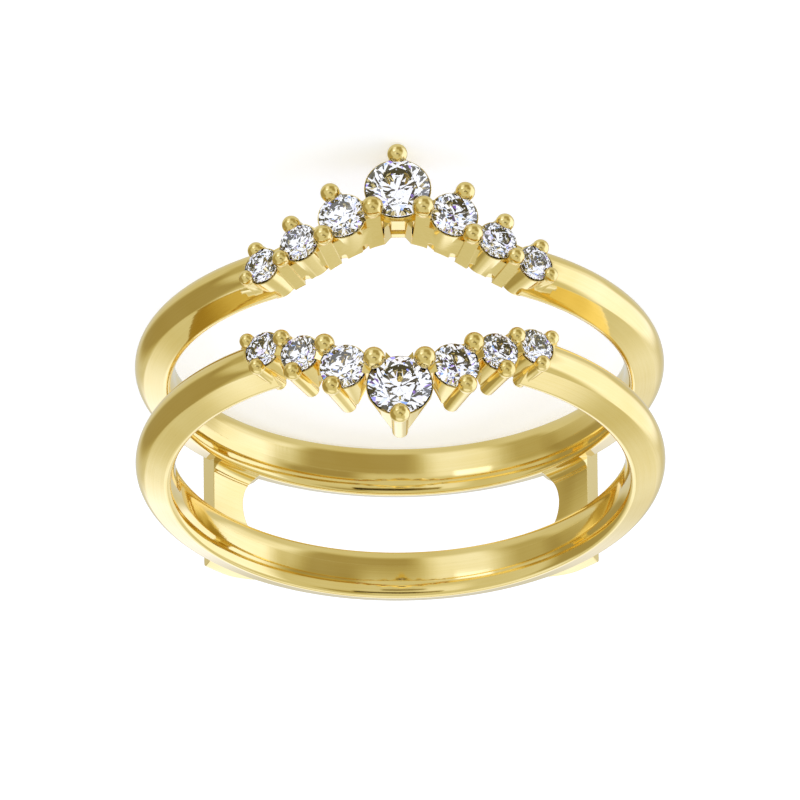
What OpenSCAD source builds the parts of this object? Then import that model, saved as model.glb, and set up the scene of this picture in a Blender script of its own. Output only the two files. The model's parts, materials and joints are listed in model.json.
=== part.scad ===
// Ring guard enhancer in yellow gold. Two bands stand side by side and are joined low at the
// back of the finger by two short bars, so that another ring fits between them. The top of
// each band is a chevron of seven graduated round brilliants in shared bead prongs, and the
// two chevrons point away from each other.
// Sizes are millimetres. The part lies on its side: the finger axis runs up with a small
// lean, the stones face -Y, and the back chevron and the back band touch the ground.

/* [Finger hole] */
// inside diameter
finger_d = 17.3; // [16.5:0.1:18.2]

/* [Bands] */
// distance from the middle plane to each band centre, level with the finger axis
band_offset = 2.09; // [2.0:0.01:2.2]
// lean of each band toward the other on the stone side, in degrees
band_lean = 1.03; // [0.8:0.01:1.3]
// thickness from the finger hole to the top of the crown
band_t = 1.51; // [1.4:0.01:1.6]
// height of the edge between side face and crown above the finger hole
shoulder_t = 1.17; // [1.1:0.01:1.22]
// half width at that edge
shoulder_w = 0.65; // [0.6:0.01:0.7]
// half width at the finger hole, before the corner is rounded
foot_w = 1.08; // [1.0:0.01:1.12]
// rounding of the two inner corners
foot_round = 0.2; // [0.16:0.01:0.22]
// angle from the top of the ring where the band runs under the first stone
band_end = 30.5; // [30:0.5:31.5]

/* [Joining bars] */
// angle from the bottom of the ring to the steep side of a bar
bar_steep = 49.4; // [48:0.1:51]
// angle from the bottom to the far end of its soft side
bar_soft = 34.6; // [33:0.1:36]
// angle from the bottom to the waist of its soft side
bar_waist = 40; // [39:0.1:41]
// height of the bar's inner face above the finger hole
bar_in = 0.82; // [0.75:0.01:0.95]
// height of the bar's outer face above the finger hole
bar_out = 1.82; // [1.75:0.01:1.9]
// half length of the bar along the finger
bar_half = 2.78; // [2.7:0.01:2.85]
// radius of the scooped soft side
bar_scoop = 1.7; // [1.6:0.05:1.8]

/* [Stones] */
// diameter of the centre stone
stone_4 = 2.45; // [2.35:0.01:2.5]
// diameter of the stones beside it
stone_3 = 1.8; // [1.7:0.01:1.85]
// diameter of the next pair
stone_2 = 1.5; // [1.4:0.01:1.55]
// diameter of the end pair
stone_1 = 1.4; // [1.3:0.01:1.45]
// space between a stone and its seat
seat_gap = 0.03; // [0.02:0.005:0.05]

/* [Hidden] */
$fn = 96;
hole_r = finger_d / 2;
far_out = hole_r * 3;

// stones of one half chevron, from the end to the centre:
// angle from the top, place along the finger, girdle height above the hole, diameter,
// radius of its collar at the finger hole
stones = [
    [31.1, 1.81, 1.49, stone_1, 0.72],
    [22.05, 2.41, 1.52, stone_2, 0.78],
    [12.2, 3.265, 1.55, stone_3, 0.93],
    [0, 4.26, 1.63, stone_4, 1.13]
];
// flat posts on the side of the gap: angle, place along the finger of the bead, its height,
// its radius, place along the finger of the post's face at the finger hole, the way it faces
posts = [
    [34.3, 1.37, 1.64, 0.30, 1.14, 4],
    [25.6, 1.725, 1.74, 0.34, 1.32, 16],
    [15.85, 2.355, 1.80, 0.40, 1.92, 27],
    [5.25, 3.265, 1.98, 0.43, 2.62, 15]
];
// tapered claws on the outer side: the same first four columns, then the place of the foot
claws = [
    [32.3, 2.51, 1.51, 0.33, 2.66],
    [23.45, 3.17, 1.60, 0.36, 3.30],
    [14.35, 4.17, 1.76, 0.38, 4.22],
    [0, 5.62, 1.84, 0.39, 5.43]
];
post_set = 0.74;        // a post's face stands this share of the bead's radius before its centre
post_w = 1.35;          // width of a post, in bead radii
post_d = 0.9;           // thickness of a post
claw_slim = 0.9;        // radius of a claw under its bead, as a share of the bead's
claw_foot = 0.75;       // and at its foot
foot_depth = 0.45;      // how far posts and collars start inside the hole before it is bored
rim_drop = 0.1;         // a collar's rim lies this far under the girdle
rim_w = 0.06;           // and is this much wider than the stone
cup_tip = 0.27;         // half width of a cup's tip, as a share of its collar's foot
cup_out = 0.96;         // place of the tip in front of the stone, as the same share
cup_lean = 0.54;        // a cup's flat sides come this much forward as they rise
wall_t = 1.3;           // height of the wall between the posts
wall_set = 0.05;        // the wall's face stands this far behind the face of the posts
wall_d = 0.85;          // thickness of the wall
sill_t = 0.28;          // height of the sill between the two middle posts
sill_at = 2.98;         // place of its face along the finger
plate_low = 0.6;        // the plate over the sill starts at this height
plate_d = 0.4;          // and is this thick
wedge_tip = 0.68;       // length and face of the wedge at each end of the chevron
wedge_at = 1.22;
arch_r = 0.13;          // small arches along the lower edge: half width
arch_h = 0.24;          // height where the round top starts
arch_deep = 0.75;       // how far an arch runs through the wall
arch_front = 0.5;       // and how far in front of its place it starts
arches = [[8.1, 2.62], [13.6, 2.16], [18.6, 1.86], [23.4, 1.53]];
flare_from = 3.5;       // beyond this place along the finger the hole widens a little
flare_to = 6.3;
flare = 0.1;            // by so much in radius

// joining bars
bar_fillet = 0.45;      // hollow corner between a bar's inner face and a band
bar_round = 0.2;        // rounding of a bar's outer edges
bar_run_r = 3.67;       // a small circle lets the outer face run down into the bands
bar_run_in = 2.4;       // its top lies this far inside the steep side, in degrees

// seats
tip_gap = 1.6;          // space under a stone's point, in seat gaps
top_gap = 1.3;          // space over its table, in seat gaps
open_back = 0.45;       // radius of the hole under a stone, as a share of the stone's
crown_stop = 1.38;      // the band's crown is cut off at this height under the first stone
stop_gap = 0.02;        // and this much wider than the seat

// proportions of a round brilliant, as shares of its radius
table_r = 0.57;
crown_h = 0.30;
star_r = 0.76;
girdle_h = 0.06;
pavilion_h = 0.86;
lower_r = 0.25;
crown_slope = crown_h / (1 - table_r);
star_h = (1 - star_r * cos(22.5)) * crown_slope;

// the ground touches the bead of the back centre claw and the back band's inner corner
// the section reaches a little into the hole, whose bore then cuts its rounded corners cleanly
foot_in = 0.035;
foot_corner = [hole_r - foot_in, foot_w];
shoulder = [hole_r + shoulder_t, shoulder_w];
foot_side = (shoulder - foot_corner) / norm(shoulder - foot_corner);
foot_half = acos(foot_side * [0, -1]) / 2;
foot_mid = (foot_side + [0, -1]) / norm(foot_side + [0, -1]);
foot_centre = foot_corner + foot_mid * foot_round / sin(foot_half);
foot_tangent = foot_round / tan(foot_half);
crown_s = band_t - shoulder_t;
crown_r = (shoulder_w * shoulder_w + crown_s * crown_s) / (2 * crown_s);
low_bead = [hole_r + claws[3][2], -claws[3][1]];
low_foot = [-foot_centre[0] * cos(band_lean) + foot_centre[1] * sin(band_lean),
            -band_offset - foot_centre[0] * sin(band_lean) - foot_centre[1] * cos(band_lean)];
low_span = low_bead - low_foot;
lie = atan(-low_span[1] / low_span[0]) + asin((claws[3][3] - foot_round) / norm(low_span));
lift = -(low_bead[1] * cos(lie) + low_bead[0] * sin(lie) - claws[3][3]);
// the origin is under the middle between the outermost bead and the front band's crown
bead_end = low_bead[0] * cos(lie) - low_bead[1] * sin(lie) + claws[3][3];
crown_end = (hole_r + band_t - crown_r) * cos(lie - band_lean) + band_offset * sin(lie) + crown_r;
shift_y = (bead_end - crown_end) / 2;

// lays the ring on its side as it rests
module lay() {
    translate([0, shift_y, lift]) rotate([-lie, 0, 0]) children();
}

// local z points away from the finger axis at an angle from the top of the ring
module at(angle, along) {
    rotate([0, 0, angle]) translate([0, 0, along]) rotate([90, 0, 0]) children();
}

// band section: x is the distance from the finger axis, y runs along the finger
module foot_corner_round() {
    difference() {
        children();
        polygon([foot_centre, foot_corner + [0, -foot_tangent], foot_corner + [-0.2, 0.2],
                 foot_corner + foot_side * foot_tangent]);
    }
    translate(foot_centre) circle(r = foot_round);
}

module band_half_section() {
    top = foot_corner + foot_side * (band_t + 0.3) / foot_side[0];
    foot_corner_round() intersection() {
        polygon([[foot_corner[0], 0], foot_corner, top, [top[0], 0]]);
        union() {
            translate([hole_r + band_t - crown_r, 0]) circle(r = crown_r);
            translate([hole_r - 1, -0.5]) square([shoulder_t + 0.98, foot_w + 1]);
        }
    }
}

module band_section() {
    band_half_section();
    mirror([0, 1, 0]) band_half_section();
}

module band() {
    difference() {
        translate([0, 0, band_offset]) rotate([band_lean, 0, 0])
            rotate([0, 0, band_end - 90]) rotate_extrude(angle = 360 - 2 * band_end) band_section();
        // the crown ends in front of the first stone's girdle
        for (side = [-1, 1])
            at(side * stones[0][0], stones[0][1]) translate([0, 0, hole_r + crown_stop])
                cylinder(h = 1, r = stone_1 / 2 + seat_gap + stop_gap);
    }
}

// joining bar: its section runs along the finger, then it is swept over a few degrees
module bar_section() {
    face = hole_r + bar_in;
    back = hole_r + bar_out;
    // the fillet ends on the band's side face, beside its rounded inner corner
    wall = band_offset - foot_w + foot_round;
    reach = bar_fillet + bar_round;
    translate([face, -bar_half]) square([back - face - bar_round, 2 * bar_half]);
    translate([face, bar_round - bar_half]) square([back - face, 2 * (bar_half - bar_round)]);
    for (s = [-1, 1]) {
        translate([back - bar_round, s * (bar_half - bar_round)]) circle(r = bar_round);
        difference() {
            translate([face - bar_fillet, s * (wall - bar_fillet + reach / 2) - reach / 2])
                square(reach);
            translate([face - bar_fillet, s * (wall - bar_fillet)]) circle(r = bar_fillet);
        }
    }
}

module bar(side) {
    waist_at = bar_waist - asin(bar_scoop / (hole_r + bar_in));
    difference() {
        intersection() {
            rotate([0, 0, 90 + (side > 0 ? -bar_steep : bar_soft)])
                rotate_extrude(angle = bar_steep - bar_soft) bar_section();
            rotate([0, 0, 90 - side * (bar_steep - bar_run_in)])
                translate([hole_r + bar_out - bar_run_r, 0, 0])
                    cylinder(h = 3 * bar_half, r = bar_run_r, center = true);
        }
        at(180 - side * waist_at, 0) cylinder(h = far_out, r = bar_scoop);
    }
}

module bead(row) {
    at(row[0], row[1]) translate([0, 0, hole_r + row[2]]) sphere(r = row[3]);
}

// tapered claw between a foot at the finger hole and its bead
module claw(row) {
    lean = atan((row[1] - row[4]) / row[2]);
    at(row[0], row[1]) translate([0, 0, hole_r + row[2]]) rotate([180 - lean, 0, 0])
        cylinder(h = row[2] + foot_depth, r1 = row[3] * claw_slim, r2 = row[3] * claw_foot);
    bead(row);
}

// slope of a post's face, from its foot up to where it meets the bead
function face_slope(row) = (row[1] - row[3] * post_set - row[4]) / row[2];

// flat post under a bead
module post(row) {
    at(row[0], row[4]) translate([0, 0, hole_r])
        rotate([-atan(face_slope(row)), 0, 0]) rotate([0, 0, -row[5]])
            translate([-row[3] * post_w / 2, 0, -foot_depth])
                cube([row[3] * post_w, post_d, foot_depth + row[2] - row[3] / 3]);
    bead(row);
}

// cup of a stone: a collar with two flat sides that meet at a narrow tip behind the claw
module collar(row) {
    top = row[2] - rim_drop;
    rim = row[3] / 2 + rim_w;
    slope = (rim - row[4]) / top;
    // each flat side starts at the tip and just clears the rim
    tip = [row[4] * cup_tip, row[4] * cup_out];
    reach = [tip[0], tip[1] + cup_lean * top];
    turn = atan2(reach[1], reach[0]) - acos((rim + stop_gap) / norm(reach));
    dip = 90 + atan(cup_lean * sin(turn));
    at(row[0], row[1]) translate([0, 0, hole_r]) difference() {
        translate([0, 0, -foot_depth])
            cylinder(h = top + foot_depth, r1 = row[4] - slope * foot_depth, r2 = rim);
        for (s = [0, 1]) mirror([s, 0, 0]) translate([tip[0], tip[1], 0]) rotate([0, dip, turn])
            translate([-3, -3, 0]) cube([6, 6, 2]);
    }
}

// flat wall between two posts, seen from the gap
module wall(a, b) {
    x = (hole_r + wall_t / 2) * tan((a[0] - b[0]) / 2);
    ya = a[4] + wall_set;
    yb = b[4] + wall_set;
    middle = (ya + yb) / 2;
    at((a[0] + b[0]) / 2, middle) translate([0, 0, hole_r])
        rotate([-atan((face_slope(a) + face_slope(b)) / 2), 0, 0]) translate([0, 0, -foot_depth])
            linear_extrude(height = foot_depth + wall_t)
                polygon([[x, ya - middle], [x, ya - middle + wall_d],
                         [-x, yb - middle + wall_d], [-x, yb - middle]]);
}

// small round-topped notch through the foot of a wall
module arch(angle, along) {
    rotate([0, 0, angle]) translate([0, -hole_r - arch_h, along - arch_front]) {
        cylinder(h = arch_deep, r = arch_r);
        translate([-arch_r, 0, 0]) cube([2 * arch_r, 2 * arch_h, arch_deep]);
    }
}

// the wall runs out onto the band in a wedge beyond its last post
module wedge(row) {
    at(row[0], 0) translate([0, 0, hole_r - foot_depth]) linear_extrude(height = foot_depth + wall_t)
        polygon([[-wall_set, row[4]], [-wall_set, row[4] + wall_d], [wedge_tip, wedge_at]]);
}

module half_chevron() {
    for (k = [0:2]) collar(stones[k]);
    for (k = [0:3]) post(posts[k]);
    for (k = [0:2]) claw(claws[k]);
    wedge(posts[0]);
    difference() {
        for (k = [0:2]) wall(posts[k], posts[k + 1]);
        for (notch = arches) arch(notch[0], notch[1]);
    }
}

// one band with its chevron, on the +Z side
module guard() {
    half_sill = hole_r * sin(posts[3][0]);
    band();
    half_chevron();
    mirror([1, 0, 0]) half_chevron();
    claw(claws[3]);
    collar(stones[3]);
    translate([-half_sill, -hole_r - sill_t, sill_at]) cube([2 * half_sill, sill_t + foot_depth, wall_d / 3]);
    translate([-half_sill, -hole_r - wall_t, sill_at]) cube([2 * half_sill, wall_t - plate_low, plate_d]);
}

// the finger hole, a little wider beyond the bands
module bore() {
    rotate_extrude() polygon([[0, -flare_to], [hole_r + flare, -flare_to], [hole_r, -flare_from],
                              [hole_r, flare_from], [hole_r + flare, flare_to], [0, flare_to]]);
}

// seat of a stone: the brilliant's outline, a little larger
module seat(row) {
    r = row[3] / 2;
    at(row[0], row[1]) translate([0, 0, hole_r + row[2]]) {
        rotate_extrude() polygon([
            [0, -(girdle_h + pavilion_h) * r - tip_gap * seat_gap],
            [r + seat_gap, -girdle_h * r - seat_gap],
            [r + seat_gap, seat_gap],
            [star_r * r + seat_gap, star_h * r + seat_gap],
            [table_r * r + seat_gap, crown_h * r + top_gap * seat_gap],
            [0, crown_h * r + top_gap * seat_gap]]);
        translate([0, 0, -row[2] - foot_depth])
            cylinder(h = row[2] + foot_depth - r / 2, r = r * open_back);
    }
}

module seats() {
    for (k = [0:3]) seat(stones[k]);
    mirror([1, 0, 0]) for (k = [0:2]) seat(stones[k]);
}

// round brilliant with its girdle plane at z = 0: an eight-sided table, eight star facets,
// eight kites, sixteen upper and sixteen lower girdle facets and eight pavilion mains
module brilliant(d) {
    r = d / 2;
    half = 22.5 / 2;
    // the girdle's edge dips between its corners where the flat facets meet the round
    function ring(n, radius, z, turn) = [for (k = [0:n - 1])
        [radius * cos(turn + k * 360 / n), radius * sin(turn + k * 360 / n), z]];
    // drop of the plane through the junction, a corner and the next corner at mid angle
    function dip(rj, zj) = let (
        j = [rj * cos(22.5), rj * sin(22.5), zj],
        a = [1, 0, 0],
        b = [cos(22.5), sin(22.5), 0],
        n = cross(a - j, b - j),
        m = [cos(half), sin(half)])
        (n * a - n[0] * m[0] - n[1] * m[1]) / n[2];
    up = dip(star_r, star_h);
    down = dip(lower_r, -(1 - lower_r * cos(22.5)) * pavilion_h);
    pts = concat(
        ring(8, table_r, crown_h, 0),                                       // 0 table
        ring(8, star_r, star_h, 22.5),                                      // 8 star corners
        [for (k = [0:31]) [cos(k * half), sin(k * half), k % 2 == 0 ? 0 : up]],   // 16 girdle top
        [for (k = [0:31]) [cos(k * half), sin(k * half),
            -girdle_h + (k % 2 == 0 ? 0 : down)]],                          // 48 girdle foot
        ring(8, lower_r, -girdle_h - (1 - lower_r * cos(22.5)) * pavilion_h, 22.5),   // 80
        [[0, 0, -girdle_h - pavilion_h]]);                                  // 88 culet
    faces = concat(
        [[7, 6, 5, 4, 3, 2, 1, 0]],
        [for (k = [0:7]) [k, (k + 1) % 8, 8 + k]],
        [for (k = [0:7]) [k, 8 + k, 16 + 4 * k]],
        [for (k = [0:7]) [k, 16 + 4 * k, 8 + (k + 7) % 8]],
        [for (k = [0:7], i = [0:3]) [8 + k, 16 + (4 * k + i + 1) % 32, 16 + 4 * k + i]],
        [for (k = [0:31]) [16 + k, 16 + (k + 1) % 32, 48 + (k + 1) % 32]],
        [for (k = [0:31]) [16 + k, 48 + (k + 1) % 32, 48 + k]],
        [for (k = [0:7], i = [0:3]) [80 + k, 48 + 4 * k + i, 48 + (4 * k + i + 1) % 32]],
        [for (k = [0:7]) [48 + 4 * k, 80 + k, 88]],
        [for (k = [0:7]) [48 + 4 * k, 88, 80 + (k + 7) % 8]]);
    scale(r) polyhedron(points = pts, faces = faces);
}

module diamond(i, side) {
    row = i < 5 ? stones[i - 1] : stones[7 - i];
    turn = i < 5 ? row[0] : -row[0];
    color("white") lay() at(turn, side * row[1]) translate([0, 0, hole_r + row[2]])
        brilliant(row[3]);
}

module gold_mount() {
    color("gold") lay() difference() {
        union() {
            guard();
            mirror([0, 0, 1]) guard();
            bar(1);
            bar(-1);
        }
        bore();
        seats();
        mirror([0, 0, 1]) seats();
    }
}

gold_mount();
diamond(1, 1);  // front_diamond_1
diamond(2, 1);  // front_diamond_2
diamond(3, 1);  // front_diamond_3
diamond(4, 1);  // front_diamond_4
diamond(5, 1);  // front_diamond_5
diamond(6, 1);  // front_diamond_6
diamond(7, 1);  // front_diamond_7
diamond(1, -1);  // back_diamond_1
diamond(2, -1);  // back_diamond_2
diamond(3, -1);  // back_diamond_3
diamond(4, -1);  // back_diamond_4
diamond(5, -1);  // back_diamond_5
diamond(6, -1);  // back_diamond_6
diamond(7, -1);  // back_diamond_7
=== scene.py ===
# %% [markdown]
# # A ring guard in yellow gold with two chevrons of diamonds
#
# A ring guard is worn around another ring: its two slim bands pass on either side of that ring,
# and they are joined by two short bars where the finger's underside hides them. Each band ends
# at the top in a chevron of seven round brilliants.
#
# The exact solids come from the part's own CAD model. They are loaded here as a fixed frame, in
# metres. The stones are used as they are. The gold is cast and then polished like a mirror, and
# a mirror shows every small facet of a CAD mesh, so the gold is rebuilt on the same dimensions
# with much finer meshes.

# %% Load the frame
import json
import math
import bpy
import bmesh
from mathutils import Matrix, Vector


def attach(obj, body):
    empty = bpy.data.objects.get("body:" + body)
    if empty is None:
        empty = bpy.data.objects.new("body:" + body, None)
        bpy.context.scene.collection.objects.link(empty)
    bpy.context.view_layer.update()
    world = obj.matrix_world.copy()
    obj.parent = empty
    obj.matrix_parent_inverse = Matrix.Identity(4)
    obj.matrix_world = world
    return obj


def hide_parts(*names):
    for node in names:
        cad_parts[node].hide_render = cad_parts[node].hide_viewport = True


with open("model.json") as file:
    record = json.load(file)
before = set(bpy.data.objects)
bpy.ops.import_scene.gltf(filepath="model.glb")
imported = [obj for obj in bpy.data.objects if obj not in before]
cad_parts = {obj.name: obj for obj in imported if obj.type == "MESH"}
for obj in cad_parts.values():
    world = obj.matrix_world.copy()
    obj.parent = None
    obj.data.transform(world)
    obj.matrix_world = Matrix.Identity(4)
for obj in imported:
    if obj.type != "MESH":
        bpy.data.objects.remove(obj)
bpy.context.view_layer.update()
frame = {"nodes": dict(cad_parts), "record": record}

print("CAD nodes:", len(frame["nodes"]))

# %% [markdown]
# ## Where the ring lies
#
# The ring rests on its side. Everything on it is easier to describe in the jeweller's own frame:
# the finger's axis is Z, the stones point to -Y, and sizes are millimetres. The record of the
# part says where the finger hole is and how it leans, and that gives the one matrix that takes
# ring millimetres to scene metres.

# %% From ring millimetres to scene metres
hole = frame["record"]["mounts"][0]
HOLE_R = hole["dims"]["r_mm"]
LEAN_BACK = math.atan2(hole["axis"][1], hole["axis"][2])
LAY = (Matrix.Translation(hole["pos_m"]) @ Matrix.Rotation(-LEAN_BACK, 4, "X")
       @ Matrix.Scale(0.001, 4))


def rotation(degrees, axis):
    return Matrix.Rotation(math.radians(degrees), 4, axis)


def on_ring(angle, along, r):
    """A point r mm from the finger's axis, at an angle in degrees from the top of the ring."""
    a = math.radians(angle)
    return Vector((r * math.sin(a), -r * math.cos(a), along))


def standing(angle, along, r):
    """A frame at such a point: its Z points away from the finger and its Y along it."""
    return Matrix.Translation(on_ring(angle, along, r)) @ rotation(angle, "Z") @ rotation(90, "X")


print("finger hole", 2 * HOLE_R, "mm, axis leans", round(math.degrees(LEAN_BACK), 2), "degrees")

# %% [markdown]
# ## Shader maths that reads like maths
#
# A shader is a network of nodes, and a formula in it soon takes a dozen of them. The small class
# below wraps a socket, so that `1 - mask * 0.5` adds the Math nodes by itself. Colours and
# vectors go through nodes of their own kind, because a Math node would turn them grey.

# %% A field over a surface
class Field:
    """One value that varies over a surface: an output socket that can be used in a formula."""

    def __init__(self, finish, socket):
        self.finish, self.socket = finish, socket

    def maths(self, operation, first, second=None):
        values = {0: first} if second is None else {0: first, 1: second}
        return self.finish.add("ShaderNodeMath", {"operation": operation}, values)

    def __add__(self, other): return self.maths("ADD", self, other)
    def __radd__(self, other): return self.maths("ADD", other, self)
    def __sub__(self, other): return self.maths("SUBTRACT", self, other)
    def __rsub__(self, other): return self.maths("SUBTRACT", other, self)
    def __mul__(self, other): return self.maths("MULTIPLY", self, other)
    def __rmul__(self, other): return self.maths("MULTIPLY", other, self)
    def __pow__(self, other): return self.maths("POWER", self, other)

    def part(self, name):
        """Another output of the same node."""
        return Field(self.finish, self.socket.node.outputs[name])

    def between(self, low, high):
        """Eases from 0 at low to 1 at high."""
        return self.finish.add("ShaderNodeMapRange", {"interpolation_type": "SMOOTHSTEP"},
                               {"Value": self, "From Min": low, "From Max": high})


# %% A finish
class NodeSheet:
    """A node tree whose nodes are added by one method."""

    def __init__(self, tree):
        self.tree = tree

    def add(self, kind, settings=None, values=None, output=0):
        node = self.tree.nodes.new(kind)
        for key, value in (settings or {}).items():
            if key == "stops":
                ramp = node.color_ramp
                while len(ramp.elements) < len(value):
                    ramp.elements.new(1.0)
                for stop, (place, colour) in zip(ramp.elements, value):
                    stop.position, stop.color = place, colour
            else:
                setattr(node, key, value)
        for key, value in (values or {}).items():
            if isinstance(value, Field):
                self.tree.links.new(value.socket, node.inputs[key])
            else:
                node.inputs[key].default_value = value
        return Field(self, node.outputs[output])


class Finish(NodeSheet):
    """A material made of one main shader."""

    def __init__(self, name, **constants):
        self.material = bpy.data.materials.new(name)
        self.material.use_nodes = True
        super().__init__(self.material.node_tree)
        self.shader = next(n for n in self.tree.nodes if n.type == "BSDF_PRINCIPLED")
        for socket, value in constants.items():
            self.shader.inputs[socket.replace("_", " ")].default_value = value

    def feed(self, **fields):
        for socket, field in fields.items():
            self.tree.links.new(field.socket, self.shader.inputs[socket.replace("_", " ")])


print("shader helpers ready")

# %% [markdown]
# ## Polished yellow gold
#
# Gold has no colour of its own apart from what it mirrors, so the shader is a pure metal with a
# low roughness. What makes it real is small: a buffing wheel leaves hair-fine lines that run
# along the band, the polish is a little softer in some places than in others, and the colour of
# the alloy isn't perfectly even. The lines follow the ring, so their pattern is made in ring
# coordinates: how far from the axis, how far along the finger, and which way round.
#
# A casting has no sharp edges either. Polishing rounds every edge and corner by a few hundredths
# of a millimetre, and each of those edges then carries a thin bright line. The Bevel node bends
# the surface normal near edges in just that way, also in the hollow corners.

# %% Yellow gold
gold = Finish("yellow_gold", Metallic=1.0)
place = gold.add("ShaderNodeTexCoord", output="Object")
ring_place = gold.add("ShaderNodeMapping", {"vector_type": "TEXTURE"},
                      {"Vector": place, "Location": hole["pos_m"],
                       "Rotation": (-LEAN_BACK, 0, 0), "Scale": (0.001, 0.001, 0.001)})
x = gold.add("ShaderNodeSeparateXYZ", values={"Vector": ring_place})
y, along = x.part("Y"), x.part("Z")
radius = (x * x + y * y) ** 0.5
turn = x.maths("ARCTAN2", x, y)

LINES_ACROSS, LINES_ROUND = 16, 2.2
line_place = gold.add("ShaderNodeCombineXYZ", values={"X": radius * LINES_ACROSS, "Y": along * LINES_ACROSS,
                                                      "Z": turn * LINES_ROUND})
buff_lines = gold.add("ShaderNodeTexNoise", values={"Vector": line_place, "Scale": 1.0, "Detail": 4.0})
soft_spots = gold.add("ShaderNodeTexNoise", values={"Vector": ring_place, "Scale": 0.35, "Detail": 2.0})
grain = gold.add("ShaderNodeTexNoise", values={"Vector": ring_place, "Scale": 9.0, "Detail": 3.0})

tone = gold.add("ShaderNodeValToRGB", {"stops": [(0.30, (0.86, 0.65, 0.20, 1)),
                                                 (0.70, (0.95, 0.76, 0.30, 1))]},
                {"Fac": soft_spots * 0.7 + buff_lines * 0.3})
EDGE_ROUND, LINE_DEPTH = 0.00005, 0.00002
rounded = gold.add("ShaderNodeBevel", {"samples": 4}, {"Radius": EDGE_ROUND})
gold.feed(Base_Color=tone,
          Roughness=0.02 + buff_lines * 0.04 + soft_spots * 0.02,
          Normal=gold.add("ShaderNodeBump", values={"Strength": 0.05, "Distance": LINE_DEPTH,
                                                    "Height": buff_lines * 0.8 + grain * 0.2,
                                                    "Normal": rounded}))
print("gold nodes:", len(gold.tree.nodes))

# %% [markdown]
# ## Diamond
#
# A brilliant is cut so that light which enters through the top is mirrored twice inside and comes
# back out of the top. A path tracer does that by itself when the facets are really there and the
# refractive index is right, 2.42. Diamond also splits white light a little, which shows as small
# flashes of violet and blue. That is given by a very faint tint that changes every few tenths of
# a millimetre. The brightest panels of the light are a little blue, for the sake of the gold, so
# what the surface of a stone mirrors is tinted the other way to stay white.

# %% Diamond
diamond = Finish("diamond", Roughness=0.0, IOR=2.42, Specular_Tint=(1.0, 0.92, 0.66, 1))
diamond.shader.inputs["Transmission Weight"].default_value = 1.0
place = diamond.add("ShaderNodeTexCoord", output="Object")
CELLS_PER_METRE = 3800
cells = diamond.add("ShaderNodeTexVoronoi", {"feature": "F1"},
                    {"Vector": place, "Scale": CELLS_PER_METRE}, output="Color")
flash = diamond.add("ShaderNodeSeparateColor", values={"Color": cells})
FLASH_STOPS = [(0.0, (0.98, 0.98, 0.98, 1)), (0.90, (1, 1, 1, 1)),
               (0.95, (0.80, 0.88, 1.0, 1)), (1.0, (0.82, 0.68, 1.0, 1))]
diamond.feed(Base_Color=diamond.add("ShaderNodeValToRGB", {"stops": FLASH_STOPS}, {"Fac": flash}))

for name, node in frame["nodes"].items():
    for slot in node.material_slots:
        slot.material = gold.material if name == "gold_mount" else diamond.material
print("stones with the diamond finish:", len(frame["nodes"]) - 1)

# %% [markdown]
# ## The bands
#
# A band is one profile carried round the finger. The inner face touches the finger only in its
# middle and bends away from it on both sides, which jewellers call a comfort fit and which gives
# the long thin reflections inside the ring. The sides draw in toward the outside, and the crown
# is domed. Drawing the profile as a curve and sweeping it with Geometry Nodes keeps both easy to
# change. A loop of points close to each corner keeps the reflection from bending on the sides.

# %% Profile of a band
BAND_T, SHOULDER_T, SHOULDER_W = 1.51, 1.17, 0.65
# half the width at the finger, the corner's rounding, its height, and the comfort curve's slope
FOOT_W, FOOT_ROUND, FOOT_UP, COMFORT = 1.05, 0.20, 0.25, 28
PATH_R = HOLE_R + 0.75
FOR_THE_BORE = 0.02


def arc(centre, r, start, end, steps):
    """Points on an arc, its angles in degrees from the direction away from the finger."""
    return [(centre[0] + r * math.cos(math.radians(start + (end - start) * k / steps)),
             centre[1] + r * math.sin(math.radians(start + (end - start) * k / steps)))
            for k in range(steps + 1)]


def half_profile():
    """From the middle of the inner face, round the corner and over the crown to its top."""
    corner, shoulder = Vector((HOLE_R + FOOT_UP, FOOT_W)), Vector((HOLE_R + SHOULDER_T, SHOULDER_W))
    lean = math.radians(COMFORT)
    side, inner = (shoulder - corner).normalized(), Vector((-math.sin(lean), -math.cos(lean)))
    half_angle = side.angle(inner) / 2
    centre = corner + (side + inner).normalized() * FOOT_ROUND / math.sin(half_angle)
    side_faces = math.degrees(math.atan2(side[0], -side[1]))
    round_from = arc(centre, FOOT_ROUND, 180 - COMFORT, side_faces, 12)
    # the comfort curve starts level at the hole and meets the rounded corner
    curve_r = (round_from[0][0] - HOLE_R) / (1 - math.cos(lean))
    curve_w = round_from[0][1] - curve_r * math.sin(lean)
    points = [(HOLE_R - FOR_THE_BORE, 0.0), (HOLE_R - FOR_THE_BORE, curve_w - FOR_THE_BORE)]
    points += arc((HOLE_R + curve_r, curve_w), curve_r, 180, 180 - COMFORT, 10)[:-1] + round_from
    print("comfort curve", round(curve_r, 2), "mm, from", round(curve_w, 2), "mm off the middle")
    last = Vector(points[-1])
    points += [tuple(last.lerp(shoulder, t)) for t in (0.03, 0.35, 0.7, 0.97)]
    rise = BAND_T - SHOULDER_T
    crown_r = (SHOULDER_W ** 2 + rise ** 2) / (2 * rise)
    crown_from = math.degrees(math.atan2(SHOULDER_W, crown_r - rise))
    return points + arc((HOLE_R + BAND_T - crown_r, 0), crown_r, crown_from, 0, 18)


half = half_profile()
profile = half + [(s, -w) for s, w in reversed(half[1:-1])]
print("profile points:", len(profile))

# %% Sweep tree
def inputs_of(tree, sockets):
    """Adds named inputs to a tree and returns their identifiers."""
    found = {}
    for name, kind in sockets:
        found[name] = tree.interface.new_socket(name, in_out="INPUT", socket_type=kind).identifier
    tree.interface.new_socket("Geometry", in_out="OUTPUT", socket_type="NodeSocketGeometry")
    return found


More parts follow.
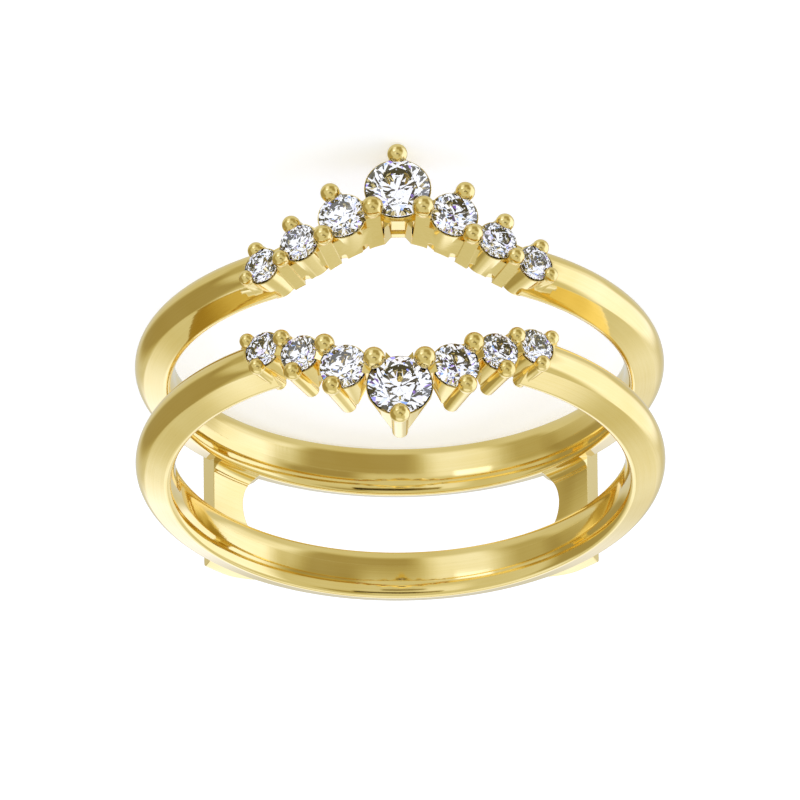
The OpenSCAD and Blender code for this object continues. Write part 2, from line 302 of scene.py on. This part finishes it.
def node_in(tree, kind, settings=None, links=None, values=None):
    """Adds one geometry node, with settings, links into its sockets, and values."""
    node = tree.nodes.new(kind)
    for key, value in (settings or {}).items():
        setattr(node, key, value)
    for key, value in (values or {}).items():
        node.inputs[key].default_value = value
    for key, socket in (links or {}).items():
        tree.links.new(socket, node.inputs[key])
    return node


sweep = bpy.data.node_groups.new("band_sweep", "GeometryNodeTree")
SWEEP = inputs_of(sweep, [("Profile", "NodeSocketGeometry"), ("Path radius", "NodeSocketFloat"),
                          ("Start angle", "NodeSocketFloat"), ("Sweep angle", "NodeSocketFloat"),
                          ("Steps", "NodeSocketInt"), ("Metal", "NodeSocketMaterial")])
given = node_in(sweep, "NodeGroupInput").outputs
path = node_in(sweep, "GeometryNodeCurveArc", {"mode": "RADIUS"},
               {"Resolution": given["Steps"], "Radius": given["Path radius"],
                "Start Angle": given["Start angle"], "Sweep Angle": given["Sweep angle"]})
upright = node_in(sweep, "GeometryNodeSetCurveNormal", {"mode": "Z_UP"},
                  {"Curve": path.outputs["Curve"]})
swept = node_in(sweep, "GeometryNodeCurveToMesh", None,
                {"Curve": upright.outputs[0], "Profile Curve": given["Profile"]}, {"Fill Caps": True})
real = node_in(sweep, "GeometryNodeRealizeInstances", None, {"Geometry": swept.outputs[0]})
shaded = node_in(sweep, "GeometryNodeSetMaterial", None,
                 {"Geometry": real.outputs[0], "Material": given["Metal"]})
node_in(sweep, "NodeGroupOutput", None, {"Geometry": shaded.outputs[0]})
print("sweep tree nodes:", len(sweep.nodes))

# %% [markdown]
# The two bands aren't quite parallel: each leans about one degree toward the other on the side of
# the stones. The arc stops where the band runs in under the first stone of its chevron. Only the
# front band is made. The back one is its mirror image.

# %% The front band
BAND_OFFSET, BAND_LEAN, BAND_END = 2.09, 1.03, 30.5


def made_with(obj, tree, values):
    """Runs a node tree on an object once and returns its result as a plain mesh."""
    modifier = obj.modifiers.new("build", "NODES")
    modifier.node_group = tree
    for identifier, value in values.items():
        modifier[identifier] = value
    bpy.context.view_layer.update()
    graph = bpy.context.evaluated_depsgraph_get()
    mesh = bpy.data.meshes.new_from_object(obj.evaluated_get(graph))
    obj.modifiers.remove(modifier)
    return mesh


def profile_curve(points):
    curve = bpy.data.curves.new("band_profile", "CURVE")
    curve.dimensions = "3D"
    spline = curve.splines.new("POLY")
    spline.points.add(len(points) - 1)
    for point, (s, w) in zip(spline.points, points):
        point.co = (s - PATH_R, w, 0, 1)
    spline.use_cyclic_u = True
    return curve


def closed_shell(mesh):
    """Welds a mesh and points its faces outward."""
    bm = bmesh.new()
    bm.from_mesh(mesh)
    bmesh.ops.remove_doubles(bm, verts=bm.verts, dist=1e-5)
    bmesh.ops.recalc_face_normals(bm, faces=bm.faces)
    bm.to_mesh(mesh)
    bm.free()
    return mesh


drawing = bpy.data.objects.new("band_drawing", profile_curve(profile))
bpy.context.scene.collection.objects.link(drawing)
band = made_with(drawing, sweep, {
    SWEEP["Path radius"]: PATH_R, SWEEP["Start angle"]: math.radians(BAND_END - 90),
    SWEEP["Sweep angle"]: math.radians(360 - 2 * BAND_END), SWEEP["Steps"]: 280,
    SWEEP["Metal"]: gold.material})
band.transform(Matrix.Translation((0, 0, BAND_OFFSET)) @ rotation(BAND_LEAN, "X"))
closed_shell(band)
bpy.data.objects.remove(drawing)
print("band:", len(band.polygons), "faces")

# %% [markdown]
# ## Turned shapes and cuts
#
# The rest of the casting is built from turned shapes and blocks: collars, prongs, beads, walls,
# and the cutters for the stone seats. One function turns an outline round an axis. Blender's
# Manifold boolean joins them and cuts them quickly, as long as every shape is closed.

# %% Turning, joining and cutting
def turned(outline, steps, sweep=360.0, start=0.0, closed=False):
    """Turns (radius, height) points round Z. A closed outline makes a solid ring or a slice."""
    bm = bmesh.new()
    whole = sweep >= 360
    columns = []
    poles = {}
    for k in range(steps if whole else steps + 1):
        a = math.radians(start + sweep * k / steps)
        column = []
        for i, (r, z) in enumerate(outline):
            if r < 1e-9:
                if i not in poles:
                    poles[i] = bm.verts.new((0, 0, z))
                column.append(poles[i])
            else:
                column.append(bm.verts.new((r * math.cos(a), r * math.sin(a), z)))
        columns.append(column)
    count = len(outline)
    for k in range(steps):
        a, b = columns[k], columns[(k + 1) % len(columns)]
        for i in range(count if closed else count - 1):
            j = (i + 1) % count
            corners = list(dict.fromkeys((a[i], b[i], b[j], a[j])))
            if len(corners) > 2:
                bm.faces.new(corners)
    if not whole:
        bm.faces.new(columns[0])
        bm.faces.new(list(reversed(columns[-1])))
    bmesh.ops.recalc_face_normals(bm, faces=bm.faces)
    mesh = bpy.data.meshes.new("turned")
    bm.to_mesh(mesh)
    bm.free()
    return mesh


def tapered(r_low, r_high, low, high, steps):
    """A round bar from one height to another, with a radius for each end."""
    return turned([(0, low), (r_low, low), (r_high, high), (0, high)], steps)


def rod(r, low, high, steps):
    return tapered(r, r, low, high, steps)


def prism(corners, low, high):
    """A closed block on a flat outline, from one height to another."""
    count = len(corners)
    verts = [(x, y, low) for x, y in corners] + [(x, y, high) for x, y in corners]
    faces = [list(reversed(range(count))), list(range(count, 2 * count))]
    faces += [[k, (k + 1) % count, count + (k + 1) % count, count + k] for k in range(count)]
    mesh = bpy.data.meshes.new("block")
    mesh.from_pydata(verts, [], faces)
    return closed_shell(mesh)


def block(left, right, front, back, low, high):
    return prism([(left, front), (right, front), (right, back), (left, back)], low, high)


def workpiece(mesh):
    obj = bpy.data.objects.new("work", mesh)
    bpy.context.scene.collection.objects.link(obj)
    return obj


def combined(mesh, others, operation):
    """Joins or cuts a mesh with others, one after the other, and returns the result."""
    obj = workpiece(mesh)
    for other in others:
        tool = workpiece(other)
        modifier = obj.modifiers.new("cut", "BOOLEAN")
        modifier.operation, modifier.solver, modifier.object = operation, "MANIFOLD", tool
        bpy.context.view_layer.update()
        graph = bpy.context.evaluated_depsgraph_get()
        result = bpy.data.meshes.new_from_object(obj.evaluated_get(graph))
        obj.modifiers.clear()
        obj.data = result
        bpy.data.objects.remove(tool)
    result = obj.data
    bpy.data.objects.remove(obj)
    return result


def placed(mesh, matrix):
    """Moves a mesh, and turns its faces round again where the matrix mirrors it."""
    mesh.transform(matrix)
    if matrix.determinant() < 0:
        mesh.flip_normals()
    return mesh


SIDEWAYS, BACKWARDS = Matrix.Scale(-1, 4, (1, 0, 0)), Matrix.Scale(-1, 4, (0, 0, 1))
print("workshop ready")

# %% [markdown]
# ## The joining bars
#
# Each bar is a short slice of a thick ring. Its inner face stands back from the finger, its side
# toward the bottom is scooped out, its steep side slants back as it rises, and small hollow
# fillets run it into the bands.

# %% Two joining bars
# in degrees: the steep side, the scooped side and the narrowest place, counted from the bottom,
# and how far the steep side slants
BAR_STEEP, BAR_SOFT, BAR_WAIST, BAR_SLANT = 49.4, 34.6, 40, 28
BAR_IN, BAR_OUT, BAR_HALF, BAR_WALL, BAR_SCOOP = 0.82, 1.82, 2.78, 1.21, 1.7
BAR_FILLET, BAR_ROUND, BAR_RUN_R, BAR_RUN_IN = 0.45, 0.2, 3.67, 2.4
THROUGH = 9


def bar_outline():
    face, back = HOLE_R + BAR_IN, HOLE_R + BAR_OUT
    half = [(face, 0)] + arc((face - BAR_FILLET, BAR_WALL - BAR_FILLET), BAR_FILLET, 0, 90, 12)
    half += [(face - BAR_FILLET, BAR_WALL + BAR_ROUND), (face, BAR_WALL + BAR_ROUND), (face, BAR_HALF)]
    half += arc((back - BAR_ROUND, BAR_HALF - BAR_ROUND), BAR_ROUND, 90, 0, 8)
    return half + [(r, -z) for r, z in reversed(half[1:])]


bars = []
for side in (1, -1):
    start = 90 - BAR_STEEP if side > 0 else 90 + BAR_SOFT
    bar = turned(bar_outline(), 40, BAR_STEEP - BAR_SOFT, start, closed=True)
    run_at = 90 - side * (BAR_STEEP - BAR_RUN_IN)
    run = placed(rod(BAR_RUN_R, -THROUGH, THROUGH, 160),
                 rotation(run_at, "Z") @ Matrix.Translation((HOLE_R + BAR_OUT - BAR_RUN_R, 0, 0)))
    scoop_at = BAR_WAIST - math.degrees(math.asin(BAR_SCOOP / (HOLE_R + BAR_IN)))
    scoop = placed(rod(BAR_SCOOP, 0, HOLE_R + THROUGH, 120), standing(180 - side * scoop_at, 0, 0))
    slant = placed(block(0, THROUGH, -THROUGH, THROUGH, -THROUGH, THROUGH),
                   standing(180 - side * BAR_STEEP, 0, HOLE_R + BAR_IN) @ rotation(90, "X")
                   @ Matrix.Scale(-side, 4, (1, 0, 0)) @ rotation(BAR_SLANT, "Z"))
    bar = combined(bar, [run], "INTERSECT")
    bars.append(combined(bar, [scoop, slant], "DIFFERENCE"))
print("bars:", [len(bar.polygons) for bar in bars], "faces")

# %% [markdown]
# ## The two chevrons
#
# Each stone sits in a collar. Between two stones stands a flat prong on the side of the gap, and
# a tapered claw holds each stone from the outside; both end in a round bead that is pushed over
# the stone's edge. Fifteen beads and seven claws of one kind in different sizes are a job for
# instancing: one is modelled, and Geometry Nodes put it on points that carry size and direction.

# %% Tables of stones and prongs
# angle from the top, place along the finger, girdle height, diameter, radius of the collar's foot
STONES = [(31.1, 1.81, 1.49, 1.40, 0.72), (22.05, 2.41, 1.52, 1.50, 0.78),
          (12.2, 3.265, 1.55, 1.80, 0.93), (0, 4.26, 1.63, 2.45, 1.13)]
# angle, place of the bead along the finger, its height, its radius, place of the foot along the
# finger, and then the way a post faces, or the angle of a claw's foot
POSTS = [(34.3, 1.37, 1.64, 0.30, 1.14, 4), (25.6, 1.725, 1.74, 0.34, 1.32, 16),
         (15.85, 2.355, 1.80, 0.40, 1.92, 27), (5.25, 3.265, 1.98, 0.43, 2.62, 15)]
CLAWS = [(32.3, 2.51, 1.51, 0.33, 2.62, 31.6), (23.45, 3.17, 1.60, 0.36, 3.26, 22.6),
         (14.35, 4.17, 1.76, 0.38, 4.20, 12.9), (0, 5.62, 1.84, 0.39, 5.43, 0)]
FOOT_DEPTH, CLAW_NECK, CLAW_FOOT = 0.45, 0.9, 0.75


def both_sides(rows):
    return [(side * row[0], *row[1:]) for row in rows for side in ((1, -1) if row[0] else (1,))]


print("stones in a chevron:", len(both_sides(STONES)), "prongs:", len(both_sides(POSTS + CLAWS)))

# %% Prong tree
prongs = bpy.data.node_groups.new("prongs", "GeometryNodeTree")
PRONG = inputs_of(prongs, [("Points", "NodeSocketGeometry"), ("With stem", "NodeSocketBool"),
                           ("Neck", "NodeSocketFloat"), ("Foot", "NodeSocketFloat"),
                           ("Sides", "NodeSocketInt"), ("Metal", "NodeSocketMaterial")])
given = node_in(prongs, "NodeGroupInput").outputs
cone = node_in(prongs, "GeometryNodeMeshCone", None,
               {"Vertices": given["Sides"], "Radius Top": given["Neck"], "Radius Bottom": given["Foot"]},
               {"Depth": 1.0})
hung = node_in(prongs, "GeometryNodeTransform", None, {"Geometry": cone.outputs["Mesh"]},
               {"Translation": (0, 0, -1)})
ball = node_in(prongs, "GeometryNodeMeshUVSphere", None, {"Segments": given["Sides"]},
               {"Rings": 28, "Radius": 1.0})


def attribute(name, kind):
    return node_in(prongs, "GeometryNodeInputNamedAttribute", {"data_type": kind}, None,
                   {"Name": name}).outputs["Attribute"]


facing = node_in(prongs, "FunctionNodeEulerToRotation", None,
                 {"Euler": attribute("turn", "FLOAT_VECTOR")})
stretch = node_in(prongs, "ShaderNodeCombineXYZ", None,
                  {"X": attribute("bead", "FLOAT"), "Y": attribute("bead", "FLOAT"),
                   "Z": attribute("length", "FLOAT")})
rods = node_in(prongs, "GeometryNodeInstanceOnPoints", None,
               {"Points": given["Points"], "Instance": hung.outputs[0],
                "Rotation": facing.outputs[0], "Scale": stretch.outputs[0]})
stems = node_in(prongs, "GeometryNodeSwitch", {"input_type": "GEOMETRY"},
                {"Switch": given["With stem"], "True": rods.outputs[0]})
beads = node_in(prongs, "GeometryNodeInstanceOnPoints", None,
                {"Points": given["Points"], "Instance": ball.outputs["Mesh"],
                 "Rotation": facing.outputs[0], "Scale": attribute("bead", "FLOAT")})
joined = node_in(prongs, "GeometryNodeJoinGeometry")
prongs.links.new(stems.outputs[0], joined.inputs[0])
prongs.links.new(beads.outputs[0], joined.inputs[0])
real = node_in(prongs, "GeometryNodeRealizeInstances", None, {"Geometry": joined.outputs[0]})
shaded = node_in(prongs, "GeometryNodeSetMaterial", None,
                 {"Geometry": real.outputs[0], "Material": given["Metal"]})
node_in(prongs, "NodeGroupOutput", None, {"Geometry": shaded.outputs[0]})
print("prong tree nodes:", len(prongs.nodes))

# %% Beads and claws of one chevron
def loose_parts(mesh):
    """Splits a mesh into its separate shells, each welded and closed."""
    bm = bmesh.new()
    bm.from_mesh(mesh)
    bmesh.ops.remove_doubles(bm, verts=bm.verts, dist=1e-5)
    taken, parts = set(), []
    for first in bm.verts:
        if first in taken:
            continue
        taken.add(first)
        shell, reached = [], [first]
        while reached:
            vert = reached.pop()
            shell.append(vert)
            for edge in vert.link_edges:
                other = edge.other_vert(vert)
                if other not in taken:
                    taken.add(other)
                    reached.append(other)
        number = {v: i for i, v in enumerate(shell)}
        faces = dict.fromkeys(f for v in shell for f in v.link_faces)
        part = bpy.data.meshes.new("shell")
        part.from_pydata([v.co[:] for v in shell], [], [[number[v] for v in f.verts] for f in faces])
        parts.append(part)
    bm.free()
    return parts


def prong_shells(rows, with_stem):
    points, turns, sizes, lengths = [], [], [], []
    for row in both_sides(rows):
        top = on_ring(row[0], row[1], HOLE_R + row[2])
        foot_angle = math.copysign(row[5], row[0]) if with_stem else row[0]
        up = (top - on_ring(foot_angle, row[4], HOLE_R)).normalized()
        points.append(top)
        turns += up.to_track_quat("Z", "Y").to_euler()[:]
        sizes.append(row[3])
        lengths.append(row[2] + FOOT_DEPTH)
    mesh = bpy.data.meshes.new("prong_points")
    mesh.from_pydata(points, [], [])
    mesh.attributes.new("turn", "FLOAT_VECTOR", "POINT").data.foreach_set("vector", turns)
    mesh.attributes.new("bead", "FLOAT", "POINT").data.foreach_set("value", sizes)
    mesh.attributes.new("length", "FLOAT", "POINT").data.foreach_set("value", lengths)
    obj = workpiece(mesh)
    made = made_with(obj, prongs, {PRONG["With stem"]: with_stem, PRONG["Neck"]: CLAW_NECK,
                                   PRONG["Foot"]: CLAW_FOOT, PRONG["Sides"]: 48,
                                   PRONG["Metal"]: gold.material})
    bpy.data.objects.remove(obj)
    return loose_parts(made)


shells = prong_shells(POSTS, False) + prong_shells(CLAWS, True)
print("prong shells:", len(shells))

# %% [markdown]
# Flat walls close the side of the gap between the prongs, with a small arch at the foot of each.
# Another ring lies against them. Beyond the last prong the wall runs out onto the band in a wedge.
# The walls and prongs lean as the beads do, so each one is built upright and then tipped.

# %% Walls and flat prongs
POST_SET, POST_W, POST_D, WALL_T, WALL_SET, WALL_D = 0.74, 1.35, 0.9, 1.3, 0.05, 0.85
WEDGE_TIP, WEDGE_AT, WEDGE_T = 0.68, 1.22, 1.12
# angle from the top and place along the finger of each arch
ARCHES = [(8.1, 2.62), (13.6, 2.16), (18.6, 1.86), (23.4, 1.53)]
ARCH_R, ARCH_H, ARCH_FRONT, ARCH_DEEP = 0.13, 0.24, 0.5, 0.58


def face_slope(row):
    """How far a flat prong's face comes forward for each millimetre of its height."""
    return (row[1] - row[3] * POST_SET - row[4]) / row[2]


def tipped(slope):
    return rotation(-math.degrees(math.atan(slope)), "X")


def flat_prong(row):
    half_w = row[3] * POST_W / 2
    return placed(block(-half_w, half_w, 0, POST_D, -FOOT_DEPTH, row[2] - row[3] / 3),
                  standing(row[0], row[4], HOLE_R) @ tipped(face_slope(row)) @ rotation(-row[5], "Z"))


def wall(a, b):
    half_w = (HOLE_R + WALL_T / 2) * math.tan(math.radians((a[0] - b[0]) / 2))
    bend = (a[4] - b[4]) / 2
    slab = prism([(half_w, bend), (half_w, bend + WALL_D), (-half_w, WALL_D - bend), (-half_w, -bend)],
                 -FOOT_DEPTH, WALL_T)
    middle = standing((a[0] + b[0]) / 2, (a[4] + b[4]) / 2 + WALL_SET, HOLE_R)
    return placed(slab, middle @ tipped((face_slope(a) + face_slope(b)) / 2))


def arch(angle, along):
    outline = [(-ARCH_R, ARCH_H), *[(x, -z) for x, z in arc((0, ARCH_H), ARCH_R, 180, 0, 12)],
               (ARCH_R, ARCH_H)]
    return placed(prism(outline, along - ARCH_FRONT, along - ARCH_FRONT + ARCH_DEEP),
                  rotation(angle, "Z") @ Matrix.Translation((0, -HOLE_R, 0)))


walls = combined(wall(*POSTS[0:2]), [wall(*POSTS[1:3]), wall(*POSTS[2:4])], "UNION")
walls = combined(walls, [arch(*row) for row in ARCHES], "DIFFERENCE")
end = POSTS[0]
wedge_outline = [(-WALL_SET, end[4]), (-WALL_SET, end[4] + WALL_D), (WEDGE_TIP, WEDGE_AT)]
wedge = placed(prism(wedge_outline, -FOOT_DEPTH, WEDGE_T), standing(end[0], 0, HOLE_R))
for shape in [walls, wedge] + [flat_prong(row) for row in POSTS]:
    shells += [shape, placed(shape.copy(), SIDEWAYS)]
print("closed shapes so far:", len(shells))

# %% [markdown]
# Under the middle stone the wall has a gap. A low sill closes it at the finger and a plate closes
# it under the stone, and beside it each prong has a cheek that slants back to the sill.

# %% Sill, plate and cheeks
SILL_T, SILL_AT, PLATE_LOW, PLATE_D = 0.28, 2.98, 0.6, 0.4
CHEEK_FRONT, CHEEK_BACK, CHEEK_W, CHEEK_D = (0.52, 2.67), 0.26, 0.60, 0.3
half_sill = HOLE_R * math.sin(math.radians(POSTS[3][0]))
for low, high, depth in ((-FOOT_DEPTH, SILL_T, WALL_D / 3), (PLATE_LOW, WALL_T, PLATE_D)):
    shells.append(block(-half_sill, half_sill, -HOLE_R - high, -HOLE_R - low, SILL_AT, SILL_AT + depth))
cheek_outline = [CHEEK_FRONT, (CHEEK_BACK, SILL_AT), (CHEEK_BACK, SILL_AT + CHEEK_D),
                 (CHEEK_W, SILL_AT + CHEEK_D)]
cheek = placed(prism(cheek_outline, -FOOT_DEPTH, WALL_T), standing(0, 0, HOLE_R))
shells += [cheek, placed(cheek.copy(), SIDEWAYS)]
print("half the sill's width:", round(half_sill, 2), "mm")

# %% [markdown]
# Seen from outside, each stone sits in a cup that narrows to the foot of its claw: a collar with
# two flat sides that meet at a tip behind the claw. Each flat is cut so that it starts at the tip
# and just clears the rim, which is the tangent from a point to a circle.

# %% Cups
RIM_DROP, RIM_W, RIM_CLEAR, CUP_TIP, CUP_OUT, CUP_LEAN = 0.1, 0.06, 0.02, 0.27, 0.96, 0.54
CUP_CUT, CUP_CUT_T = 3, 2
for angle, along, height, size, foot in both_sides(STONES):
    top, rim = height - RIM_DROP, size / 2 + RIM_W
    low = foot - (rim - foot) / top * FOOT_DEPTH
    collar = tapered(low, rim, -FOOT_DEPTH, top, 120)
    tip = Vector((foot * CUP_TIP, foot * CUP_OUT))
    reach = tip + Vector((0, CUP_LEAN * top))
    turn_to = math.atan2(reach[1], reach[0]) - math.acos((rim + RIM_CLEAR) / reach.length)
    dip = math.pi / 2 + math.atan(CUP_LEAN * math.sin(turn_to))
    flat = placed(block(-CUP_CUT, CUP_CUT, -CUP_CUT, CUP_CUT, 0, CUP_CUT_T),
                  Matrix.Translation((*tip, 0)) @ Matrix.Rotation(turn_to, 4, "Z")
                  @ Matrix.Rotation(dip, 4, "Y"))
    cup = combined(collar, [flat, placed(flat.copy(), SIDEWAYS)], "DIFFERENCE")
    shells.append(placed(cup, standing(angle, along, HOLE_R)))
print("closed shapes to join:", len(shells))

# %% [markdown]
# The band's crown is cut back in front of the first stone, so that the stone's edge stays in
# sight. Then everything is joined into one casting, bored, and drilled for the stones. Beyond the
# bands the bore is a tenth of a millimetre wider, which spares the finger the claws' feet.

# %% Seats and bore
SEAT_GAP, STOP_AT, STOP_R, FLARE_FROM, FLARE_TO, FLARE = 0.03, 1.38, 0.75, 3.5, 6.3, 0.1
# parts of a stone's radius: its depth, its girdle's foot, the bead's grip, the opening, the drill
DEEP, GIRDLE, GRIP_W, GRIP_UP, OPEN_W, OPEN_UP, DRILL = 0.92, 0.06, 0.76, 0.208, 0.57, 0.30, 0.45
end_angle, end_along = STONES[0][:2]
stops = [placed(rod(STOP_R, STOP_AT, STOP_AT + 1, 96), standing(side * end_angle, end_along, HOLE_R))
         for side in (1, -1)]
band = combined(band, stops, "DIFFERENCE")
cutters = []
for angle, along, height, size, foot in both_sides(STONES):
    r = size / 2
    # slanted sides move by more than the gap, so that they too stand the whole gap clear
    roof = OPEN_UP * r + 1.3 * SEAT_GAP
    seat = [(0, -DEEP * r - 1.6 * SEAT_GAP), (r + SEAT_GAP, -GIRDLE * r - SEAT_GAP),
            (r + SEAT_GAP, SEAT_GAP), (GRIP_W * r + SEAT_GAP, GRIP_UP * r + SEAT_GAP),
            (OPEN_W * r + SEAT_GAP, roof), (0, roof)]
    girdle = standing(angle, along, HOLE_R + height)
    cutters.append(placed(turned(seat, 96), girdle))
    cutters.append(placed(rod(DRILL * r, -height - FOOT_DEPTH - 0.1, -r / 2, 64), girdle))
bore = turned([(0, -FLARE_TO), (HOLE_R + FLARE, -FLARE_TO), (HOLE_R, -FLARE_FROM), (HOLE_R, FLARE_FROM),
               (HOLE_R + FLARE, FLARE_TO), (0, FLARE_TO)], 480)
guard = combined(band, shells, "UNION")
guard = combined(guard, cutters, "DIFFERENCE")
print("one band with its chevron:", len(guard.polygons), "faces")

# %% One casting
def to_piece(name, mesh):
    """Links a finished mesh, in ring millimetres, as a piece of the ring."""
    mesh.transform(LAY)
    piece = bpy.data.objects.new(name, mesh)
    bpy.context.scene.collection.objects.link(piece)
    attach(piece, "root")
    return piece


mirrored = placed(guard.copy(), BACKWARDS)
casting = combined(guard, [mirrored] + bars, "UNION")
casting = combined(casting, [bore], "DIFFERENCE")
casting.materials.clear()
casting.materials.append(gold.material)
for polygon in casting.polygons:
    polygon.material_index = 0
casting.shade_smooth()
casting.set_sharp_from_angle(angle=math.radians(24))
gold_casting = to_piece("gold_casting", casting)
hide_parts("gold_mount")
print("casting:", len(casting.polygons), "faces")

# %% [markdown]
# ## Floor, light and camera
#
# The floor is a plain pale sheet, lit a little from within like a light table, so that it stays
# white under the ring. It isn't mirrored in the gold, because its edge would show there.

# %% Floor
FLOOR_HALF, FLOOR_DROP = 0.5, 0.00001
floor_mesh = bpy.data.meshes.new("floor")
floor_mesh.from_pydata([(x * FLOOR_HALF, y * FLOOR_HALF, 0) for x, y in ((-1, -1), (1, -1), (1, 1), (-1, 1))],
                       [], [[0, 1, 2, 3]])
floor = bpy.data.objects.new("floor", floor_mesh)
bpy.context.scene.collection.objects.link(floor)
paper = Finish("pale_floor", Base_Color=(0.9, 0.9, 0.9, 1), Roughness=0.9, Emission_Color=(1, 1, 1, 1),
               Emission_Strength=0.5)
floor_mesh.materials.append(paper.material)
floor.location.z = -FLOOR_DROP
floor.visible_glossy = floor.visible_transmission = False
print("floor:", 2 * FLOOR_HALF, "m wide")

# %% [markdown]
# Gold shows what is around it, so the light is built like a jeweller's light tent: one white dome
# with brighter panels and darker gaps between them, which give the metal its cream highlights and
# olive shadows. The tent is drawn on the sky by direction. Each panel is a stretch of the horizon
# and a stretch of height, with soft edges. A mirror's reflection is found like this: reflect the
# line of sight at the place on the ring, and read off its bearing and height.

# %% Light tent
world = bpy.data.worlds.new("light_tent")
world.use_nodes = True
bpy.context.scene.world = world
tent = NodeSheet(world.node_tree)
look = tent.add("ShaderNodeTexCoord", output="Generated")
east = tent.add("ShaderNodeSeparateXYZ", values={"Vector": look})
north, height = east.part("Y"), east.part("Z")
level = height.maths("ARCSINE", height) * (180 / math.pi)
# degrees round the horizon: 0 faces the camera's side, 90 the picture's left, 180 the back
around = east.maths("ARCTAN2", east, north * -1) * (180 / math.pi)
around_back = east.maths("ARCTAN2", east * -1, north) * (180 / math.pi)


def panel(bearing, start, end, low, high, soft=7.0):
    """A soft-edged panel between two bearings and two heights, in degrees."""
    return (bearing.between(start - soft, start + soft) * (1 - bearing.between(end - soft, end + soft))
            * level.between(low - soft, low + soft) * (1 - level.between(high - soft, high + soft)))


brightness = (0.70
              + panel(around, -134, -66, -30, 38) * 0.50
              + panel(around, -104, -56, -46, -28) * 0.30
              + panel(around_back, -24, 10, -13, 26) * 0.50
              + panel(around_back, -62, 42, 44, 80) * 0.36
              + panel(around_back, 14, 44, -8, 24, 12.0) * 0.26
              + panel(around, 14, 46, -50, -3) * 0.30
              + panel(around, 26, 44, -16, 0, 2.0) * 0.60
              + panel(around, 10, 34, 16, 40) * 0.25
              - panel(around, 78, 140, -30, 45) * 0.30
              - panel(around, 54, 80, -45, -10) * 0.20
              - panel(around, -50, 8, -52, -16) * 0.28
              - panel(around, -58, -20, -16, 4) * 0.32
              - panel(around, -50, -22, 36, 64) * 0.28
              - panel(around, -26, 22, 31, 40, 1.5) * 0.62
              - panel(around, -10, 12, 21, 25, 1.5) * 0.5)
# dim parts of the tent are warm and bright ones cool, which makes the gold olive and cream
LAMP_STOPS = [(0.10, (1, 0.78, 0.30, 1)), (0.25, (1, 0.94, 0.66, 1)), (0.35, (1, 1.02, 1.00, 1)),
              (0.50, (1, 1.08, 1.45, 1)), (0.65, (1, 1.12, 1.75, 1))]
lamp_white = tent.add("ShaderNodeValToRGB", {"stops": LAMP_STOPS}, {"Fac": brightness * 0.5})
print("panels ready")

# %% [markdown]
# A stone photographed in a plain white tent looks flat and grey, because every facet mirrors the
# same white. Photographers therefore stand small black cards around the tent while they take the
# stones. Here the cards are there only for light that has gone through a stone. Where a card's
# edge is mirrored, diamond splits the light, so the edges are blue and violet.

# %% Cards for the stones
CARDS_ROUND, CARDS_UP, CARD_LIGHT = 7, 9, 1.35
CARD_STOPS = [(0.0, (1, 1, 1, 1)), (0.59, (1, 1, 1, 1)), (0.61, (0.25, 0.50, 1, 1)),
              (0.635, (0.42, 0.16, 0.95, 1)), (0.655, (0.02, 0.02, 0.03, 1)), (1.0, (0.02, 0.02, 0.03, 1))]
through = tent.add("ShaderNodeLightPath", output="Is Transmission Ray")
waves = (around.maths("SINE", around * (math.pi / 180 * CARDS_ROUND))
         * level.maths("SINE", level * (math.pi / 180 * CARDS_UP)))
cards = tent.add("ShaderNodeValToRGB", {"stops": CARD_STOPS}, {"Fac": waves * 0.5 + 0.5})
# sockets of the colour mix by their places: 0 the factor, 6 and 7 the colours, 2 the result
seen_colour = tent.add("ShaderNodeMix", {"data_type": "RGBA"}, {0: through, 6: lamp_white, 7: cards},
                       output=2)
seen_strength = brightness * (1 - through) + through * CARD_LIGHT
ground = world.node_tree.nodes["Background"]
world.node_tree.links.new(seen_colour.socket, ground.inputs["Color"])
world.node_tree.links.new(seen_strength.socket, ground.inputs["Strength"])
bpy.context.scene.view_settings.view_transform = "Standard"
bpy.context.scene.view_settings.look = "None"
print("light tent nodes:", len(world.node_tree.nodes))

# %% [markdown]
# The photograph shows almost no perspective, so it was taken from far away with a long lens. The
# camera stands 1.4 m off and looks past the finger hole's middle by the few pixels that the ring
# is off the photograph's middle. The stones point to the top of the picture.

# %% Camera
UP_ANGLE, ROLL, PX_PER_MM, DISTANCE = 61.7, -0.59, 26.07, 1400.0
IMAGE_PX, HOLE_BELOW_PX, SENSOR = 800, 13.64, 36
tilt = math.radians(UP_ANGLE) - LEAN_BACK
right = Vector((-1, 0, 0))
up = Vector((0, -math.cos(tilt), -math.sin(tilt)))
back = right.cross(up)
roll = math.radians(ROLL)
cam_right = math.cos(roll) * right + math.sin(roll) * up
cam_up = -math.sin(roll) * right + math.cos(roll) * up
camera = bpy.data.objects.new("camera", bpy.data.cameras.new("camera"))
centre = Vector(hole["pos_m"]) + cam_up * (HOLE_BELOW_PX / PX_PER_MM * 0.001)
camera.matrix_world = Matrix.Translation(centre + back * DISTANCE * 0.001) @ Matrix(
    (cam_right, cam_up, back)).transposed().to_4x4()
camera.data.sensor_width = SENSOR
camera.data.lens = SENSOR * DISTANCE / (IMAGE_PX / PX_PER_MM)
camera.data.clip_start, camera.data.clip_end = 0.05, 20
bpy.context.scene.collection.objects.link(camera)
bpy.context.scene.camera = camera
print("camera lens", round(camera.data.lens, 1), "mm, back", [round(v, 3) for v in back])
